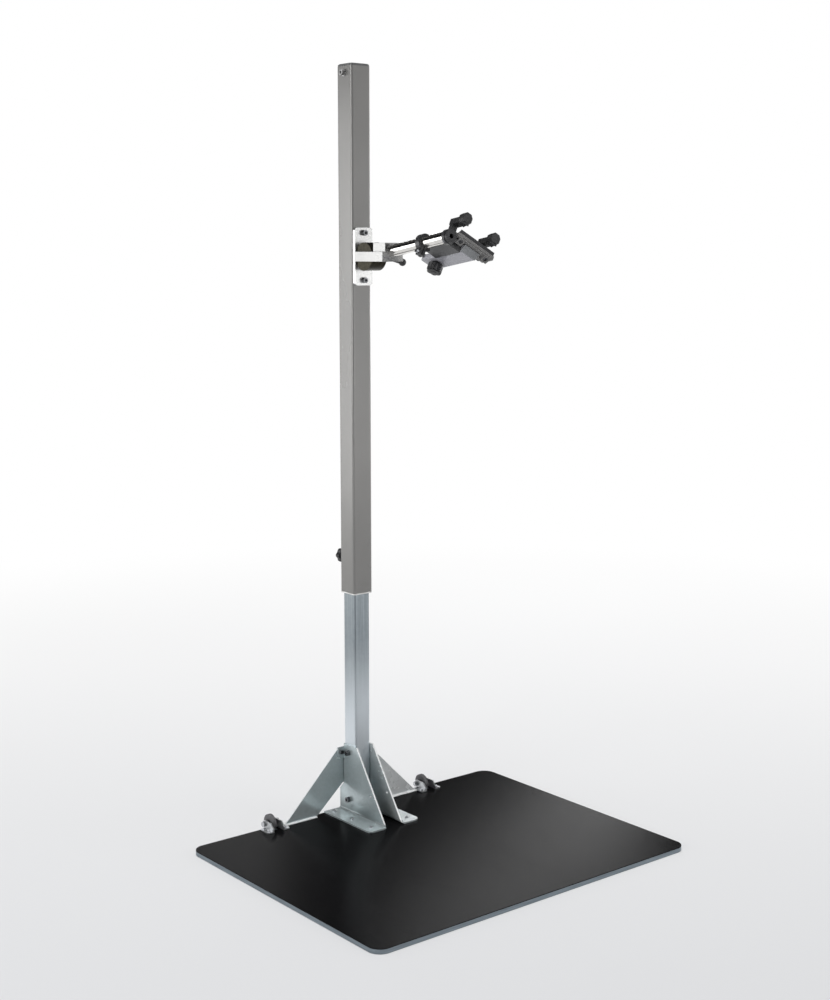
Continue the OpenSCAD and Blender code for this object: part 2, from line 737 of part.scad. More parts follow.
// Box of the clamp, a hollow profile with a slanted front
module clamp_body() color(warm_grey) at_head() difference() {
  translate([jaw_t, 0, rail_z - body_h / 2]) sheet_xz(body_front, body_back) difference() {
    round_rect(body_w, body_h, 2);
    round_rect(body_w - 2 * body_wall, body_h - 2 * body_wall, 1);
  }
  at_slant() translate([-body_w, -3 * body_h, -3 * body_h]) cube([2 * body_w, 3 * body_h, 6 * body_h]);
  translate([jaw_t, spindle_y, 0]) rod_z(spindle_d + 2 * run, spindle_low, spindle_high);
  for (y = body_screw_y)
    translate([0, y, body_screw_z]) rod_x(body_screw_d, body_left - 1, body_left + body_wall + 1);
}

// Covers on the box's two ends
module body_caps() color(warm_grey) at_head() {
  cap_h = (body_h - body_cap_t * sin(body_slant)) / cos(body_slant);
  at_slant() translate([-body_w / 2, -body_cap_t, -cap_h]) cube([body_w, body_cap_t, cap_h]);
  translate([jaw_t, 0, rail_z - body_h / 2]) sheet_xz(body_back, body_back + body_cap_t)
    round_rect(body_w, body_h, 2);
}

// Middle of a seat's slanted face, z going up into the rail
module at_lug(s) {
  translate([jaw_t + s * lug_gap / 2, rail_front, rail_z]) rotate([-lug_tilt, 0, 0])
    translate([0, lug_w / 2, 0]) children();
}

// Rail under the held tube, with two slanted seats for its screws
module lower_jaw() color(warm_grey) at_head() difference() {
  union() {
    translate([jaw_t - jaw_len / 2, rail_front, rail_z]) cube([jaw_len, rail_back - rail_front, rail_t]);
    for (s = [-1, 1]) translate([jaw_t + s * lug_gap / 2, 0, 0]) sheet_yz(-lug_w / 2, lug_w / 2) polygon([
      [rail_front, rail_z + 1], [rail_front, rail_z], [lug_mid, lug_low], [lug_back, rail_z],
      [lug_back, rail_z + 1]]);
  }
  for (s = [-1, 1]) at_lug(s) {
    rod_z(screw_d, -1, lug_depth);
    rod_z(lug_head_d, -1, lug_sink);
  }
  translate([jaw_t - jaw_len / 2 + 12, rail_front - 1, rail_z + 2]) cube([jaw_len - 24, 2, 1]);
}

module lug_screws() color(black) at_head() for (s = [-1, 1])
  at_lug(s) translate([0, 0, lug_sink]) mirror([0, 0, 1])
    socket_screw(screw_d, lug_head_d, lug_head_h, lug_depth - lug_sink);

module lower_pad() color(rubber) at_head() difference() {
  translate([jaw_t - jaw_len / 2 + 2, held_y - pad_half, rail_top])
    cube([jaw_len - 4, 2 * pad_half, pad_t + pad_rise]);
  at_held() rod_x(held_d, -jaw_len, jaw_len);
}

// Bridge behind the held tube that carries both fingers
module jaw_yoke() color(dark_grey) at_head() difference() {
  union() {
    translate([jaw_t - finger_gap / 2 - 9, yoke_front, yoke_z]) cube([finger_gap + 18, 14, yoke_t]);
    translate([jaw_t - 14, yoke_front + 14, yoke_z]) cube([28, spindle_y - yoke_front, yoke_t]);
  }
  translate([jaw_t, spindle_y, 0]) rod_z(16, yoke_z - 1, yoke_z + yoke_t + 1);
}

// Hooked finger: a stem behind the tube and a block over it
module finger(s) {
  half = block_w / 2;
  at_head() translate([jaw_t + s * finger_gap / 2, 0, 0]) {
    translate([-stem_w / 2, yoke_front + 1, yoke_z + yoke_t])
      cube([stem_w, stem_t, finger_z - yoke_z - yoke_t]);
    translate([-9, finger_back, finger_z]) cube([18, yoke_front + 1 + stem_t - finger_back, 14]);
    translate([0, 0, finger_z]) sheet_xz(finger_back - finger_deep, finger_back) polygon([
      [4 - half, 0], [half - 4, 0], [half, 5], [half, block_h - 7], [half - 6, block_h], [6 - half, block_h],
      [-half, block_h - 7], [-half, 5]]);
  }
}
module left_finger() color(black) finger(-1);
module right_finger() color(black) finger(1);

module finger_pads() color(rubber) at_head() for (s = [-1, 1]) difference() {
  translate([jaw_t + s * finger_gap / 2 - 8, held_y - 9, finger_z - 5]) cube([16, 16, 5]);
  at_held() rod_x(held_d, -jaw_len, jaw_len);
}

module jaw_nut() color("goldenrod") at_head() translate([jaw_t, spindle_y, 0]) difference() {
  union() {
    rod_z(16, yoke_z, yoke_z + yoke_t);
    rod_z(22, yoke_z + yoke_t, yoke_z + yoke_t + 5);
  }
  rod_z(spindle_d + 2 * run, yoke_z - 1, yoke_z + yoke_t + 6);
}

// Spindle through the box, held by a collar inside it
module clamp_spindle() color(steel) at_head() translate([jaw_t, spindle_y, 0]) {
  rod_z(spindle_d, spindle_low, spindle_high);
  rod_z(16, body_low + body_wall + slide_gap, body_low + body_wall + 5);
}

module clamp_knob() color(black) at_head() translate([jaw_t, spindle_y, body_low - slide_gap])
  mirror([0, 0, 1]) star_knob(knob_d, knob_h + 5, spindle_d, body_low - slide_gap - spindle_low);

base_plate();
plate_covering();
inner_column();
left_gusset();
right_gusset();
left_brace();
right_brace();
gusset_bolts();
lower_anchor_bolt();
flange_screws();
brace_bolts();
brace_screws();
upper_guide();
spring_support_tube();
gas_spring_rod();
left_outer_cheek();
left_inner_cheek();
right_inner_cheek();
right_outer_cheek();
left_axle();
right_axle();
cheek_screws();
left_tyre();
left_hub();
right_tyre();
right_hub();
outer_column();
top_cap();
lower_guide();
upper_anchor_bolt();
gas_spring_cylinder();
spring_gland();
spring_eye();
lock_boss();
lock_screw();
lock_pad();
lock_knob();
arm_mount_plate();
mount_bolts();
tilt_barrel();
arm_fork();
arm_tube();
arm_end_ring();
tilt_pin();
tilt_lever();
head_sleeve();
sleeve_screws();
clamp_body();
body_caps();
lower_jaw();
lug_screws();
lower_pad();
jaw_yoke();
left_finger();
right_finger();
finger_pads();
jaw_nut();
clamp_spindle();
clamp_knob();
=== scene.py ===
"""Looks of a bicycle lift: zinc brackets, a painted telescoping column, a black plate and a tube clamp."""

import json
import math

import bmesh
import bpy
import numpy as np
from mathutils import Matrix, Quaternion, Vector


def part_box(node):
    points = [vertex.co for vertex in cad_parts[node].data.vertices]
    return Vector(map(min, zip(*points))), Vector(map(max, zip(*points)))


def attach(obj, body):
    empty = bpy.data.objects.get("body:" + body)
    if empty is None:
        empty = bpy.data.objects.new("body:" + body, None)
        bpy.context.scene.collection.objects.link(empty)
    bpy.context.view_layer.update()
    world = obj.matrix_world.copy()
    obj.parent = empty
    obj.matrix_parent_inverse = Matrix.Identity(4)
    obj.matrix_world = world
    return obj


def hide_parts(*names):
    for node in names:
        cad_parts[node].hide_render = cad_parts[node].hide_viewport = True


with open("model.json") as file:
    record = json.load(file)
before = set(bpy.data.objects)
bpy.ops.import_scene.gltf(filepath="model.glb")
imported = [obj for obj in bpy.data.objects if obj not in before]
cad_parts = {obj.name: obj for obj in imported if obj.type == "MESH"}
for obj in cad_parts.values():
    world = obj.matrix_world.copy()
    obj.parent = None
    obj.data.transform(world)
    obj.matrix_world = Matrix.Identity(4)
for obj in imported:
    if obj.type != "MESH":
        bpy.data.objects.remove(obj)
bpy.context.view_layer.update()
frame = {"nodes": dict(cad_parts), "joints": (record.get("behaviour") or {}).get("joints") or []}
NODES = frame["nodes"]
JOINTS = {joint["name"]: joint for joint in frame["joints"]}
MM = 0.001

# The photograph's camera, fitted to the plate's corners and the column's edges
CAMERA_PLACE = (-2.2319, -2.6724, 1.3592)
CAMERA_AZIMUTH = math.radians(-38.938)
CAMERA_ELEVATION = math.radians(8.84)
CAMERA_LENS = 57.13
SENSOR_WIDTH = 36.0
AHEAD = (-math.sin(CAMERA_AZIMUTH), math.cos(CAMERA_AZIMUTH))

# The inner tube's front face lies just before this depth
COLUMN_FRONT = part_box("inner_column")[0].y + 1.5 * MM
# The front border of the braces' foot strips, which gets a painted highlight, lies before this depth
TOE_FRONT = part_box("left_brace")[0].y + 4.7 * MM
# The gussets' feet end just below the first height, and a gusset's wall has painted shade from there to the
# second
FOOT_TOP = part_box("left_gusset")[0].z + 4.3 * MM
FOLD_TOP = 0.060


# Colours

def tone(red, green, blue):
    """Screen values from 0 to 255 as linear light: v / 12.92 near black, else ((v + 0.055) / 1.055)^2.4."""
    v = np.array((red, green, blue)) / 255
    return (*np.where(v <= 0.04045, v / 12.92, ((v + 0.055) / 1.055) ** 2.4), 1.0)


def scaled(colour, share, lift=0.0):
    """A colour times share, plus lift, with no part of it above 1."""
    return (*(min(1.0, part * share + lift) for part in colour[:3]), 1.0)


# Shader values

class Value:
    """A socket of a finish. Arithmetic on it adds Math nodes."""

    def __init__(self, finish, socket):
        self.finish = finish
        self.socket = socket

    def combine(self, operation, a, b):
        """A Math node on two values or numbers."""
        return self.finish.node("Math", {"operation": operation}, i0=a, i1=b)

    def __add__(self, other):
        return self.combine("ADD", self, other)

    def __radd__(self, other):
        return self.combine("ADD", other, self)

    def __sub__(self, other):
        return self.combine("SUBTRACT", self, other)

    def __rsub__(self, other):
        return self.combine("SUBTRACT", other, self)

    def __mul__(self, other):
        return self.combine("MULTIPLY", self, other)

    def __rmul__(self, other):
        return self.combine("MULTIPLY", other, self)

    def __truediv__(self, other):
        return self.combine("DIVIDE", self, other)

    def __rtruediv__(self, other):
        return self.combine("DIVIDE", other, self)

    def __pow__(self, other):
        return self.combine("POWER", self, other)

    def ramp(self, low, high):
        """0 at low, 1 at high, smooth between them."""
        settings = {"interpolation_type": "SMOOTHSTEP"}
        return self.finish.node("MapRange", settings, Value=self, From_Min=low, From_Max=high)


class Finish:
    """One material or world, with its shader and the node method that everything else is made with."""

    def __init__(self, name, world=None):
        self.block = world or bpy.data.materials.new(name)
        self.block.use_nodes = True
        self.tree = self.block.node_tree
        self.shader = self.tree.nodes.get("Principled BSDF")

    def node(self, kind, settings=None, out=0, **sockets):
        """Adds a node of that kind, sets its settings, then its sockets, and gives one of its outputs.
        A socket goes by its name, with _ for a space, or by its number, as i0 or i1."""
        made = self.tree.nodes.new("ShaderNode" + kind)
        for key, value in (settings or {}).items():
            setattr(made, key, value)
        for key, value in sockets.items():
            place = int(key[1:]) if key[1:].isdigit() else key.replace("_", " ")
            self.put(made.inputs[place], value)
        return Value(self, made.outputs[out])

    def put(self, socket, value):
        """Links a value to a socket, or sets the socket where the value is a plain number or colour."""
        if isinstance(value, Value):
            self.tree.links.new(value.socket, socket)
        else:
            socket.default_value = value

    def set(self, **sockets):
        """Puts values into sockets of the shader."""
        for key, value in sockets.items():
            self.put(self.shader.inputs[key.replace("_", " ")], value)

    # Patterns that several finishes share

    def place(self, stretch=(1, 1, 1)):
        """Object coordinates, times stretch. A small number draws a pattern out along that axis."""
        return self.node("Mapping", Vector=self.node("TexCoord", out="Object"), Scale=stretch)

    def axis(self, name):
        """One of the three Object coordinates, in metres."""
        return self.node("SeparateXYZ", out=name, Vector=self.node("TexCoord", out="Object"))

    def seen(self, ray):
        """1 where a surface is met by that kind of ray, else 0."""
        return self.node("LightPath", out="Is " + ray + " Ray")

    def noise(self, scale, stretch=(1, 1, 1), detail=3.0, rough=0.5):
        """Clouds from 0 to 1, about scale of them to a metre."""
        return self.node("TexNoise", Vector=self.place(stretch), Scale=scale, Detail=detail, Roughness=rough)

    def cells(self, scale, out="Color"):
        """Cells, scale of them to a metre: a random colour for each, or the distance from a cell's middle."""
        return self.node("TexVoronoi", out=out, Vector=self.place(), Scale=scale)

    def mix(self, share, a, b):
        """Colour a where share is 0, colour b where it is 1."""
        return self.node("MixRGB", Fac=share, Color1=a, Color2=b)

    def grey(self, colour):
        """How light a colour is, from 0 to 1."""
        return self.node("RGBToBW", Color=colour)

    def bump(self, height, strength, distance, edge=0.0):
        """Small relief, over normals that are rounded at the edges by the radius edge."""
        sockets = {"Height": height, "Strength": strength, "Distance": distance}
        if edge:
            sockets["Normal"] = self.node("Bevel", {"samples": 4}, Radius=edge)
        self.set(Normal=self.node("Bump", **sockets))


# Finishes

def zinc(name, colour, rough, along=(1, 1, 1), streak=0.05, spangle=0.05, metal=0.9, fold=None, cut=None):
    """Zinc plate: crystal cells of 7 mm, a grain that along draws out, and cloudy passivation.
    Drawn out on one axis the grain gives streaks, and on all three broad soft clouds.
    fold = (low, high, share) paints shade on a wall between two heights, most at the lower one.
    cut names the axis across the sheet, whose sheared edges get a painted highlight: whiter and less metallic."""
    painted_fold_shade = tone(84, 90, 90)
    edge_highlight_colour = tone(252, 253, 253)
    edge_highlight_metal = 0.15
    f = Finish(name)
    crystal = f.grey(f.cells(150.0))
    grain = f.noise(900.0, along, detail=4.0, rough=0.65)
    cloud = f.noise(9.0, detail=4.0, rough=0.6)
    value = (crystal - 0.5) * spangle + (grain - 0.5) * streak * 2 + (cloud - 0.5) * 0.22
    base = f.mix((value + 0.5).ramp(0.0, 1.0), scaled(colour, 0.62), scaled(colour, 1.30))
    # Painted shade: the wall is darkened above the fold, where it meets the foot
    if fold:
        low, high, share = fold
        height = f.axis("Z")
        near = (high - height).ramp(0.0, high - low) * (height - low).ramp(0.0, 2 * MM)
        base = f.mix(near * share, base, painted_fold_shade)
    if cut:
        facing = f.node("TexCoord", out="Normal")
        back = f.node("SeparateXYZ", out="Y", Vector=facing)
        up = f.node("SeparateXYZ", out="Z", Vector=facing)
        if cut == "X":
            # Painted highlight on the sloping edges of a gusset, which face up and forwards or backwards
            edge_highlight_mask = (back * back).ramp(0.35, 0.55) * up.ramp(0.15, 0.30)
        else:
            # Painted highlight on every face of a brace but the sheet's front and back, and on the front
            # border of its foot strip
            edge_highlight_mask = (0.75 - back * back).ramp(0.0, 0.3)
            edge_highlight_mask = edge_highlight_mask + (TOE_FRONT - f.axis("Y")).ramp(0.0, 0.6 * MM) * (1 - edge_highlight_mask)
        # Painted highlight: these edges are mixed towards white and made less metallic
        base = f.mix(edge_highlight_mask * 0.9, base, edge_highlight_colour)
        metal = metal - edge_highlight_mask * (metal - edge_highlight_metal)
    f.set(Base_Color=base, Metallic=metal, Roughness=(grain - 0.5) * streak + (cloud - 0.5) * 0.08 + rough)
    f.bump(grain, strength=0.06, distance=0.4 * MM, edge=0.8 * MM)
    return f.block


def tube_zinc():
    """Drawn zinc tube: long upright streaks, darker rub marks on its front under the lifting tube, and
    a foot made paler by painted light."""
    rub_from, rub_full = 0.36, 0.50
    painted_light_from, painted_light_depth = 0.46, 0.26
    f = Finish("drawn_zinc")
    fine = f.noise(420.0, (1, 1, 0.012), detail=5.0, rough=0.6)
    broad = f.noise(95.0, (1, 1, 0.02), detail=2.0)
    cloud = f.noise(11.0, (1, 1, 0.5), rough=0.6)
    crystal = f.grey(f.cells(140.0))
    value = (fine - 0.5) * 0.5 + (broad - 0.5) * 0.35 + (cloud - 0.5) * 0.2 + (crystal - 0.5) * 0.06
    base = f.mix((value + 0.5).ramp(0.05, 0.95), tone(102, 109, 114), tone(166, 174, 178))
    height = f.axis("Z")
    front = (COLUMN_FRONT - f.axis("Y")).ramp(0.0, 0.6 * MM)
    scratch = f.noise(300.0, (1, 1, 0.006), rough=0.7).ramp(0.50, 0.66)
    worn = height.ramp(rub_from, rub_full) * front * scratch
    base = f.mix(worn * 0.75, base, tone(92, 98, 104))
    # Painted light: the tube is mixed towards a paler zinc, most at its foot
    base = f.mix((painted_light_from - height).ramp(0.0, painted_light_depth) * 0.85, base, tone(222, 229, 234))
    f.set(Base_Color=base, Metallic=1.0, Roughness=(fine - 0.5) * 0.2 + worn * 0.12 + 0.36)
    f.bump(fine + broad, strength=0.12, distance=0.4 * MM, edge=0.6 * MM)
    return f.block


def paint(name, colour, rough, orange_peel=0.14, metal=0.0, wear=1.0):
    """Satin stove paint, with metal flake in it where metal is above 0: orange peel, faint clouds and dust.
    wear scales the clouds and the dust."""
    f = Finish(name)
    cloud = f.noise(7.0, (1, 1, 0.45), detail=4.0, rough=0.6)
    peel = f.noise(900.0, detail=2.0)
    dust = f.noise(2600.0, detail=2.0).ramp(0.66, 0.80)
    base = f.mix(cloud.ramp(0.25, 0.75), scaled(colour, 1 - 0.14 * wear), scaled(colour, 1 + 0.12 * wear))
    base = f.mix(dust * 0.20 * wear, base, tone(206, 206, 204))
    f.set(Base_Color=base, Metallic=metal, Roughness=(cloud - 0.5) * 0.14 * wear + dust * 0.2 * wear + rough)
    f.set(Coat_Weight=(cloud - 0.3) * 0.3 + 0.15, Coat_Roughness=0.16)
    f.bump(peel, strength=orange_peel, distance=0.3 * MM, edge=0.8 * MM)
    return f.block


def polished(name, colour, rough):
    """Polished or chromed steel, or brass, with a fine grain and handling haze."""
    f = Finish(name)
    haze = f.noise(40.0, detail=4.0, rough=0.6)
    grain = f.noise(1600.0, rough=0.6)
    base = f.mix(haze.ramp(0.2, 0.8), scaled(colour, 0.84), colour)
    f.set(Base_Color=base, Metallic=1.0, Roughness=(haze - 0.5) * 0.14 + (grain - 0.5) * 0.06 + rough)
    f.bump(grain, strength=0.04, distance=0.2 * MM, edge=0.4 * MM)
    return f.block


def plain_steel(name, colour, rough):
    """Turned or blackened screw steel: fine grain and dark oily blots."""
    f = Finish(name)
    grain = f.noise(1500.0, detail=4.0, rough=0.6)
    blot = f.noise(160.0, rough=0.6)
    base = f.mix(blot.ramp(0.3, 0.75), scaled(colour, 0.55), colour)
    f.set(Base_Color=base, Metallic=1.0, Roughness=(grain - 0.5) * 0.2 + (blot - 0.5) * 0.15 + rough)
    f.bump(grain, strength=0.08, distance=0.2 * MM, edge=0.4 * MM)
    return f.block


def moulded(name, colour, rough, grain_scale=1800.0):
    """Moulded plastic: fine grain, slightly dusty in patches."""
    f = Finish(name)
    grain = f.noise(grain_scale, rough=0.55)
    cloud = f.noise(45.0, rough=0.6)
    base = f.mix(cloud.ramp(0.35, 0.8), colour, scaled(colour, 1.7, lift=0.008))
    f.set(Base_Color=base, Roughness=(cloud - 0.5) * 0.18 + rough)
    f.bump(grain, strength=0.16, distance=0.3 * MM, edge=0.6 * MM)
    return f.block


def soft_rubber(name, colour, rough, rib=0.0):
    """Moulded rubber: a dull bloom over fine pores. With rib above 0, ribs are pi / (10 rib) metres apart."""
    f = Finish(name)
    pore = f.noise(2400.0, rough=0.6)
    bloom = f.noise(60.0, detail=4.0, rough=0.6)
    base = f.mix(bloom.ramp(0.35, 0.8), colour, scaled(colour, 1.8, lift=0.01))
    f.set(Base_Color=base, Roughness=(bloom - 0.5) * 0.2 + rough)
    height = pore
    if rib:
        height = f.node("TexWave", out="Fac", Vector=f.place(), Scale=rib, Distortion=0.0) + pore * 0.2
    f.bump(height, strength=0.25, distance=0.4 * MM, edge=0.5 * MM)
    return f.block


def covering():
    """Black laminate on the plate: pebbles of 0.4 mm, soft scuffs, a little dust and only a weak gloss."""
    f = Finish("black_laminate")
    pebble = f.cells(2600.0, out="Distance")
    scuff = f.noise(14.0, (1, 0.25, 1), detail=5.0, rough=0.65).ramp(0.52, 0.80)
    cloud = f.noise(2.2, rough=0.6)
    dust = f.noise(1900.0, detail=2.0).ramp(0.70, 0.84)
    base = f.mix(scuff * 0.35, tone(15, 15, 16), tone(23, 23, 24))
    base = f.mix(dust * 0.12, base, tone(70, 70, 70))
    f.set(Base_Color=base, Roughness=scuff * 0.03 + (cloud - 0.5) * 0.04 + 0.21, Specular_IOR_Level=0.012)
    f.bump(pebble, strength=0.10, distance=0.2 * MM, edge=0.8 * MM)
    return f.block


def plate_steel():
    """Cut edge of the steel plate: bluish grey with lines along the cut and a little oxide."""
    f = Finish("cut_plate_steel")
    lines = f.noise(700.0, (0.02, 0.02, 1), detail=4.0, rough=0.6)
    oxide = f.noise(60.0, detail=4.0, rough=0.65)
    base = f.mix(lines.ramp(0.2, 0.8), tone(98, 108, 115), tone(138, 148, 155))
    base = f.mix(oxide.ramp(0.60, 0.85) * 0.30, base, tone(92, 92, 92))
    f.set(Base_Color=base, Metallic=0.75, Roughness=(lines - 0.5) * 0.2 + 0.46)
    f.bump(lines, strength=0.12, distance=0.3 * MM, edge=1.2 * MM)
    return f.block


def lining():
    """Pressed brake lining: brown fibre with pale flecks."""
    f = Finish("brake_lining")
    fleck = f.grey(f.cells(900.0))
    base = f.mix(fleck, tone(74, 54, 38), tone(150, 118, 84))
    f.set(Base_Color=base, Roughness=(fleck - 0.5) * 0.1 + 0.8)
    f.bump(fleck, strength=0.2, distance=0.3 * MM)
    return f.block


# New pieces

def mesh_piece(name, points, closed_path=False):
    """A grid of points [path, ring] as one mesh. The ring always closes, the path where closed_path is true.
    Points that meet in a pole are merged."""
    rows, cols = points.shape[:2]
    i = np.arange(rows if closed_path else rows - 1)[:, None]
    j = np.arange(cols)[None, :]
    next_i = (i + 1) % rows
    next_j = (j + 1) % cols
    corners = (i * cols + j, i * cols + next_j, next_i * cols + next_j, next_i * cols + j)
    quads = np.stack(np.broadcast_arrays(*corners), -1)
    mesh = bpy.data.meshes.new(name)
    mesh.from_pydata(points.reshape(-1, 3).tolist(), [], quads.reshape(-1, 4).tolist())
    work = bmesh.new()
    work.from_mesh(mesh)
    bmesh.ops.remove_doubles(work, verts=work.verts, dist=1e-6)
    bmesh.ops.dissolve_degenerate(work, edges=work.edges, dist=1e-7)
    bmesh.ops.recalc_face_normals(work, faces=work.faces)
    work.to_mesh(mesh)
    work.free()
    mesh.polygons.foreach_set("use_smooth", np.ones(len(mesh.polygons), bool))
    piece = bpy.data.objects.new(name, mesh)
    bpy.context.scene.collection.objects.link(piece)
    return piece


def full_turn(count):
    """Angles of a full circle, in even steps."""
    return np.linspace(0, 2 * math.pi, count, endpoint=False)


def about(centre, axis, radius, angle, height):
    """Points round an axis: p = centre + r cos(a) u + r sin(a) v + h w, with w along the axis and u and v
    across it."""
    w = np.array(axis, float) / np.linalg.norm(axis)
    steep = abs(w[2]) >= 0.9
    u = np.cross((1.0, 0.0, 0.0) if steep else (0.0, 0.0, 1.0), w)
    u /= np.linalg.norm(u)
    v = np.cross(w, u)
    r, a, h = (grid[..., None] for grid in np.broadcast_arrays(radius, angle, height))
    return np.array(centre, float) + r * np.cos(a) * u + r * np.sin(a) * v + h * w


def revolve(profile, centre, axis, count, lobes=None):
    """Carries a profile of (radius, height) round an axis, where lobes(a, r) scales the radius."""
    a = full_turn(count)[None, :]
    r = profile[:, 0][:, None]
    h = profile[:, 1][:, None]
    if lobes:
        r = r * lobes(a, r)
    return about(centre, axis, r, a, h)


def rounded(corners, radii, steps=6):
    """A polyline with its inner corners rounded: a corner b becomes (1 - t)^2 p + 2 t (1 - t) b + t^2 q, where
    p and q lie at the corner's radius before and after it."""
    points = [np.array(corner, float) for corner in corners]
    t = np.linspace(0, 1, steps)[:, None]
    out = [points[0]]
    for a, b, c, r in zip(points, points[1:], points[2:], radii):
        p = b + (a - b) / np.linalg.norm(a - b) * r
        q = b + (c - b) / np.linalg.norm(c - b) * r
        out.extend((1 - t) ** 2 * p + 2 * t * (1 - t) * b + t ** 2 * q)
    out.append(points[-1])
    return np.array(out)


def finish_piece(piece, material, body, slot, *stands_for):
    """Gives a new piece its material and body, and hides the CAD nodes it stands for. The slot is not used."""
    piece.data.materials.append(material)
    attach(piece, body)
    if stands_for:
        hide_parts(*stands_for)


def star_knob(name, base, axis, radius, height, body, node):
    """Six-lobed knob: a domed profile turned round its axis, with its radius times
    1 - 0.17 ((1 - cos 6a) / 2)^1.4 at the rim, fading to a plain circle at half the radius."""
    corners = [(0, 0), (radius * 0.62, 0), (radius * 0.66, 3 * MM),
               (radius, 5 * MM), (radius, height - 4 * MM),
               (radius * 0.86, height - MM), (radius * 0.42, height - MM),
               (radius * 0.36, height), (0, height)]
    profile = rounded(corners, np.array((1, 1, 1.5, 3, 3, 1, 1)) * MM)

    def lobes(a, r):
        at_rim = np.clip((r / radius - 0.5) / 0.5, 0, 1)
        return 1 - 0.17 * (0.5 - 0.5 * np.cos(6 * a)) ** 1.4 * at_rim

    piece = mesh_piece(name, revolve(profile, base, axis, 144, lobes))
    finish_piece(piece, FINISHES["black_plastic"], body, "black_plastic", node)


def tyre(name, centre, outer, inner, width, body, node):
    """Solid tyre: a rectangle with round outer corners turned round the axle. Its tread is 0.5 mm lower where
    |frac(4 t) - 1/2| < 0.11, with t from 0 to 1 across the width. Two grooves lie between the corners."""
    edge = 1.6 * MM
    groove = 0.5 * MM
    half = width / 2
    turn = np.linspace(0, math.pi / 2, 8)
    right_corner = np.stack((outer - edge + edge * np.cos(turn), half - edge + edge * np.sin(turn)), -1)
    right_wall = np.stack((np.linspace(outer - edge, inner, 6)[1:], np.full(5, half)), -1)
    left_wall = right_wall[::-1] * (1, -1)
    left_corner = right_corner[::-1] * (1, -1)
    across = np.linspace(-half + edge, half - edge, 40)[1:-1]
    dip = groove * (np.abs(((across / width + 0.5) * 4) % 1 - 0.5) < 0.11)
    tread = np.stack((outer - dip, across), -1)
    profile = np.concatenate((right_corner, right_wall, left_wall, left_corner, tread))
    piece = mesh_piece(name, revolve(profile, centre, (1, 0, 0), 96), closed_path=True)
    finish_piece(piece, FINISHES["wheel_rubber"], body, "wheel_rubber", node)


def weld_ring(name, centre, axis, radius, bead, ripples, body):
    """Weld bead: a torus whose bead has the radius bead (0.86 + 0.16 |cos(ripples a / 2)|) at the angle a."""
    a = full_turn(ripples * 8)[:, None]
    b = full_turn(14)[None, :]
    size = bead * (0.86 + 0.16 * np.abs(np.cos(a * ripples / 2)))
    points = about(centre, axis, radius + size * np.cos(b), a, size * np.sin(b))
    finish_piece(mesh_piece(name, points, closed_path=True), FINISHES["column_paint"], body, "grey_paint")


def threaded_spindle(name, low, axis, length, radius, collar, body, node):
    """Screw spindle: a rod with a collar, given as its two heights and its radius, and a chamfered tip.
    Above the collar a thread is cut into it, by depth clip(1.4 (1 - |2 s - 1|) - 0.2, 0, 1) at the height h
    and the angle a, with s = frac(h / pitch - a / 2 pi)."""
    pitch, depth = 3 * MM, 0.9 * MM
    rows_per_turn = 10
    run_out, fade_in, chamfer = 4 * MM, 2 * MM, 1.5 * MM
    collar_low, collar_high, collar_radius = collar
    h = np.linspace(0, length, round(length / pitch * rows_per_turn))[:, None]
    a = full_turn(40)[None, :]
    s = (h / pitch - a / (2 * math.pi)) % 1.0
    cut = depth * np.clip(1.4 * (1 - np.abs(2 * s - 1)) - 0.2, 0, 1)
    threaded = np.clip((h - collar_high - run_out) / fade_in, 0, 1)
    tip = np.clip((length - h) / chamfer, 0.75, 1)
    r = (radius - cut * threaded) * tip
    r = np.where((h > collar_low) & (h < collar_high), collar_radius, r)
    r[0] = 0.0
    r[-1] = 0.0
    piece = mesh_piece(name, about(low, axis, r, a, h))
    finish_piece(piece, FINISHES["ground_steel"], body, "bright_steel", node)


# Materials of the CAD pieces

SOFT_CLOUDS = (0.02, 0.02, 0.02)
UPRIGHT = (1, 1, 0.05)
LENGTHWISE = (1, 0.05, 1)

